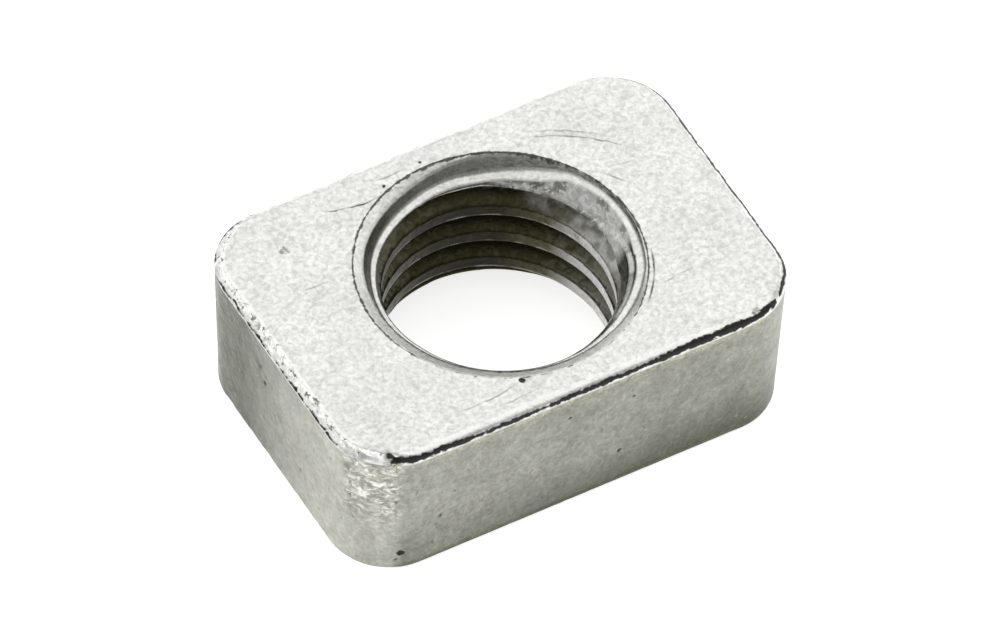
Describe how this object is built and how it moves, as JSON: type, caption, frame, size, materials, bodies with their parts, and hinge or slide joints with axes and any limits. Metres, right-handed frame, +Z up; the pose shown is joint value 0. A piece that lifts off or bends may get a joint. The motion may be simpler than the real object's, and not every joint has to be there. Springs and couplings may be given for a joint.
{
  "type": "square nut",
  "caption": "Rectangular block nut with rounded corners and a coarse M12 thread through it, countersunk at both faces.",
  "frame": {"origin": "centre of the underside, on the thread's axis", "axes": "+Z up along the thread's axis, +X along the long side"},
  "size_m": [0.0226, 0.0158, 0.0079],
  "materials": {
    "zinc_plated_steel": "satin bright zinc plating over steel"
  },
  "bodies": {
    "root": {"nut": "zinc_plated_steel"}
  },
  "joints": []
}
